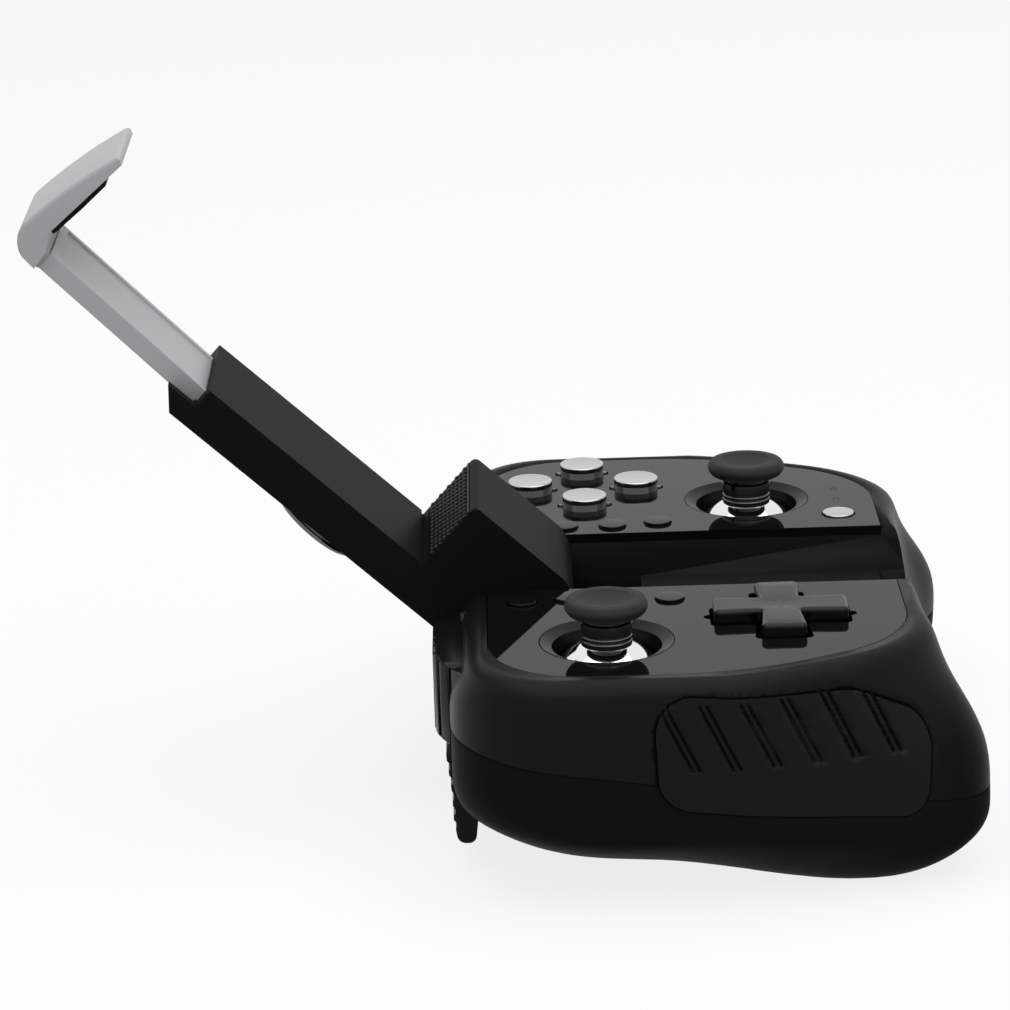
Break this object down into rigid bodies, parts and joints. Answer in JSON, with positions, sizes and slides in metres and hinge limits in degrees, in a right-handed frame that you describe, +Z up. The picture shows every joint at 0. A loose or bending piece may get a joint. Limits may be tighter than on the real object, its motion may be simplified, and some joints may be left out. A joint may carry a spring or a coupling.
{
  "type": "game controller",
  "caption": "Wireless two-handed game controller with thumb sticks, buttons, shoulder triggers and a fold-out clamp that holds a phone above it.",
  "frame": {"origin": "centre of the overall box at its lowest point, the plane the grips stand on, with the holder folded out", "axes": "+X to the player's right, +Y away from the player along the folded-out holder, +Z up out of the face plates"},
  "size_m": [0.1518, 0.1857, 0.1358],
  "materials": {
    "shell": "fine matte",
    "face_plate": "high gloss",
    "bezel": "satin",
    "stick_rubber": "matte",
    "stick_post": "gloss",
    "button_body": "gloss",
    "bright_cap": "polished",
    "dpad": "satin",
    "shoulder": "gloss",
    "holder": "satin",
    "slider": "satin",
    "pad_rubber": "textured",
    "badge_ring": "polished",
    "badge_lens": "high gloss",
    "steel": "plain",
    "board": "solder mask",
    "key_mat": "plain",
    "battery": "wrapped",
    "white_plastic": "plain"
  },
  "bodies": {
    "housing": {"upper_shell": "shell", "lower_shell": "shell", "left_faceplate": "face_plate", "right_faceplate": "face_plate", "dpad_post": "white_plastic", "shoulder_pins": "steel", "hinge_pin": "steel", "main_board": "board", "left_key_mat": "key_mat", "right_key_mat": "key_mat", "battery": "battery", "charge_board": "board", "usb_socket": "steel", "bumper_switches": "button_body", "housing_screws": "steel", "led_windows": "white_plastic", "left_stick_bezel": "bezel", "right_stick_bezel": "bezel", "left_stick_module": "button_body", "right_stick_module": "button_body", "left_grip_pad": "pad_rubber", "right_grip_pad": "pad_rubber"},
    "holder": {"holder_front": "holder", "holder_back": "holder", "lower_jaw_pad": "pad_rubber", "badge_ring": "badge_ring", "badge_lens": "badge_lens"},
    "slider": {"slider_arm": "slider", "upper_jaw": "slider", "upper_jaw_pad": "pad_rubber"},
    "dpad_rocker": {"dpad_rocker": "white_plastic"},
    "dpad": {"dpad": "dpad"},
    "left_stick_gimbal": {"left_stick_yoke": "steel"},
    "left_stick_stem": {"left_stick_shaft": "steel"},
    "left_stick_top": {"left_stick_post": "stick_post", "left_stick_cap": "stick_rubber"},
    "right_stick_gimbal": {"right_stick_yoke": "steel"},
    "right_stick_stem": {"right_stick_shaft": "steel"},
    "right_stick_top": {"right_stick_post": "stick_post", "right_stick_cap": "stick_rubber"},
    "right_key": {"right_face_button": "button_body", "right_face_cap": "bright_cap"},
    "rear_key": {"rear_face_button": "button_body", "rear_face_cap": "bright_cap"},
    "left_key": {"left_face_button": "button_body", "left_face_cap": "bright_cap"},
    "front_key": {"front_face_button": "button_body", "front_face_cap": "bright_cap"},
    "select_key": {"select_button": "button_body"},
    "mode_key": {"mode_button": "button_body"},
    "turbo_key": {"turbo_button": "button_body"},
    "start_key": {"start_button": "button_body"},
    "play_key": {"play_button": "button_body"},
    "clear_key": {"clear_button": "button_body"},
    "home_key": {"home_button": "bright_cap"},
    "left_bumper_key": {"left_bumper": "shoulder"},
    "left_trigger_lever": {"left_trigger": "shoulder"},
    "right_bumper_key": {"right_bumper": "shoulder"},
    "right_trigger_lever": {"right_trigger": "shoulder"}
  },
  "joints": [
    {"name": "holder_fold", "type": "hinge", "parent": "housing", "child": "holder", "pos_m": [0, -0.001, 0.0372], "axis": [1, 0, 0], "range_deg": [0, 137.5]},
    {"name": "slider_retract", "type": "slide", "parent": "holder", "child": "slider", "axis": [0, -0.7071, -0.7071], "range_m": [0, 0.04]},
    {"name": "left_stick_tilt_x", "type": "hinge", "parent": "housing", "child": "left_stick_gimbal", "pos_m": [-0.0487, -0.0198, 0.0344], "axis": [1, 0, 0], "range_deg": [-15, 15], "stiffness_Nm_per_rad": 0.08},
    {"name": "left_stick_tilt_y", "type": "hinge", "parent": "left_stick_gimbal", "child": "left_stick_stem", "pos_m": [-0.0487, -0.0198, 0.0344], "axis": [0, 1, 0], "range_deg": [-15, 15], "stiffness_Nm_per_rad": 0.08},
    {"name": "left_stick_click", "type": "slide", "parent": "left_stick_stem", "child": "left_stick_top", "axis": [0, 0, -1], "range_m": [0, 0.0005], "stiffness_N_per_m": 2000, "springref_m": -0.0005},
    {"name": "right_stick_tilt_x", "type": "hinge", "parent": "housing", "child": "right_stick_gimbal", "pos_m": [0.0387, -0.0521, 0.0344], "axis": [1, 0, 0], "range_deg": [-15, 15], "stiffness_Nm_per_rad": 0.08},
    {"name": "right_stick_tilt_y", "type": "hinge", "parent": "right_stick_gimbal", "child": "right_stick_stem", "pos_m": [0.0387, -0.0521, 0.0344], "axis": [0, 1, 0], "range_deg": [-15, 15], "stiffness_Nm_per_rad": 0.08},
    {"name": "right_stick_click", "type": "slide", "parent": "right_stick_stem", "child": "right_stick_top", "axis": [0, 0, -1], "range_m": [0, 0.0005], "stiffness_N_per_m": 2000, "springref_m": -0.0005},
    {"name": "dpad_tilt_x", "type": "hinge", "parent": "housing", "child": "dpad_rocker", "pos_m": [-0.037, -0.054, 0.0415], "axis": [1, 0, 0], "range_deg": [-5, 5], "stiffness_Nm_per_rad": 0.1},
    {"name": "dpad_tilt_y", "type": "hinge", "parent": "dpad_rocker", "child": "dpad", "pos_m": [-0.037, -0.054, 0.0415], "axis": [0, 1, 0], "range_deg": [-5, 5], "stiffness_Nm_per_rad": 0.1},
    {"name": "right_face_press", "type": "slide", "parent": "housing", "child": "right_key", "axis": [0, 0, -1], "range_m": [0, 0.0013], "stiffness_N_per_m": 300, "springref_m": -0.0015},
    {"name": "rear_face_press", "type": "slide", "parent": "housing", "child": "rear_key", "axis": [0, 0, -1], "range_m": [0, 0.0013], "stiffness_N_per_m": 300, "springref_m": -0.0015},
    {"name": "left_face_press", "type": "slide", "parent": "housing", "child": "left_key", "axis": [0, 0, -1], "range_m": [0, 0.0013], "stiffness_N_per_m": 300, "springref_m": -0.0015},
    {"name": "front_face_press", "type": "slide", "parent": "housing", "child": "front_key", "axis": [0, 0, -1], "range_m": [0, 0.0013], "stiffness_N_per_m": 300, "springref_m": -0.0015},
    {"name": "select_press", "type": "slide", "parent": "housing", "child": "select_key", "axis": [0, 0, -1], "range_m": [0, 0.0006], "stiffness_N_per_m": 500, "springref_m": -0.0008},
    {"name": "mode_press", "type": "slide", "parent": "housing", "child": "mode_key", "axis": [0, 0, -1], "range_m": [0, 0.0006], "stiffness_N_per_m": 500, "springref_m": -0.0008},
    {"name": "turbo_press", "type": "slide", "parent": "housing", "child": "turbo_key", "axis": [0, 0, -1], "range_m": [0, 0.0006], "stiffness_N_per_m": 500, "springref_m": -0.0008},
    {"name": "start_press", "type": "slide", "parent": "housing", "child": "start_key", "axis": [0, 0, -1], "range_m": [0, 0.0006], "stiffness_N_per_m": 500, "springref_m": -0.0008},
    {"name": "play_press", "type": "slide", "parent": "housing", "child": "play_key", "axis": [0, 0, -1], "range_m": [0, 0.0006], "stiffness_N_per_m": 500, "springref_m": -0.0008},
    {"name": "clear_press", "type": "slide", "parent": "housing", "child": "clear_key", "axis": [0, 0, -1], "range_m": [0, 0.0006], "stiffness_N_per_m": 500, "springref_m": -0.0008},
    {"name": "home_press", "type": "slide", "parent": "housing", "child": "home_key", "axis": [0, 0, -1], "range_m": [0, 0.0006], "stiffness_N_per_m": 500, "springref_m": -0.0008},
    {"name": "left_bumper_press", "type": "hinge", "parent": "housing", "child": "left_bumper_key", "pos_m": [-0.024, 0.0076, 0.0344], "axis": [0, 0, 1], "range_deg": [0, 2], "stiffness_Nm_per_rad": 0.3, "springref_deg": -5.73},
    {"name": "left_trigger_pull", "type": "hinge", "parent": "housing", "child": "left_trigger_lever", "pos_m": [-0.037, 0.0066, 0.0226], "axis": [-1, 0, 0], "range_deg": [0, 14], "stiffness_Nm_per_rad": 0.15, "springref_deg": -11.46},
    {"name": "right_bumper_press", "type": "hinge", "parent": "housing", "child": "right_bumper_key", "pos_m": [0.024, 0.0076, 0.0344], "axis": [0, 0, -1], "range_deg": [0, 2], "stiffness_Nm_per_rad": 0.3, "springref_deg": -5.73},
    {"name": "right_trigger_pull", "type": "hinge", "parent": "housing", "child": "right_trigger_lever", "pos_m": [0.037, 0.0066, 0.0226], "axis": [-1, 0, 0], "range_deg": [0, 14], "stiffness_Nm_per_rad": 0.15, "springref_deg": -11.46}
  ]
}
